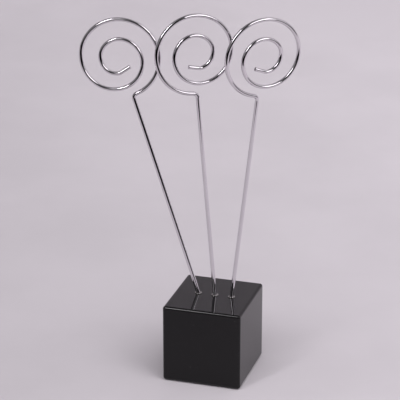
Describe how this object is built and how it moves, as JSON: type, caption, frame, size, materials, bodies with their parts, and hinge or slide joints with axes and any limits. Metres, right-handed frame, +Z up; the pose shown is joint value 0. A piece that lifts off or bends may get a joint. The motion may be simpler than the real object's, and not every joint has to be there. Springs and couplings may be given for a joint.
{
  "type": "memo holder",
  "caption": "Gloss black block, nearly a cube, carrying slanted chrome wires that end in flat spirals; a memo or photo is clipped between the turns of a spiral, and each wire swivels on its stem.",
  "frame": {"origin": "middle of the pad's underside, on the desk", "axes": "+Z up, +X to the right along the block's front face, +Y away from the viewer"},
  "size_m": [0.106, 0.0426, 0.1864],
  "materials": {
    "black_lacquer": "black piano lacquer, polished, over a wooden block",
    "pad_rubber": "matt black non-slip rubber sheet",
    "ferrule_nickel": "black nickel plating",
    "wire_chrome": "bright chrome plating on steel wire"
  },
  "bodies": {
    "base": {"base_block": "black_lacquer", "base_pad": "pad_rubber", "ferrule_left": "ferrule_nickel", "ferrule_middle": "ferrule_nickel", "ferrule_right": "ferrule_nickel"},
    "left_clip": {"wire_left": "wire_chrome"},
    "middle_clip": {"wire_middle": "wire_chrome"},
    "right_clip": {"wire_right": "wire_chrome"}
  },
  "joints": [
    {"name": "left_swivel", "type": "hinge", "parent": "base", "child": "left_clip", "pos_m": [-0.00775, 0, 0.0404], "axis": [-0.3123, -0.005, 0.95], "continuous": true},
    {"name": "middle_swivel", "type": "hinge", "parent": "base", "child": "middle_clip", "pos_m": [0.00085, 0, 0.0404], "axis": [-0.0784, -0.0261, 0.9966], "range_deg": [-20, 110]},
    {"name": "right_swivel", "type": "hinge", "parent": "base", "child": "right_clip", "pos_m": [0.00945, 0, 0.0404], "axis": [0.1097, 0.0226, 0.9937], "range_deg": [-20, 110]}
  ]
}
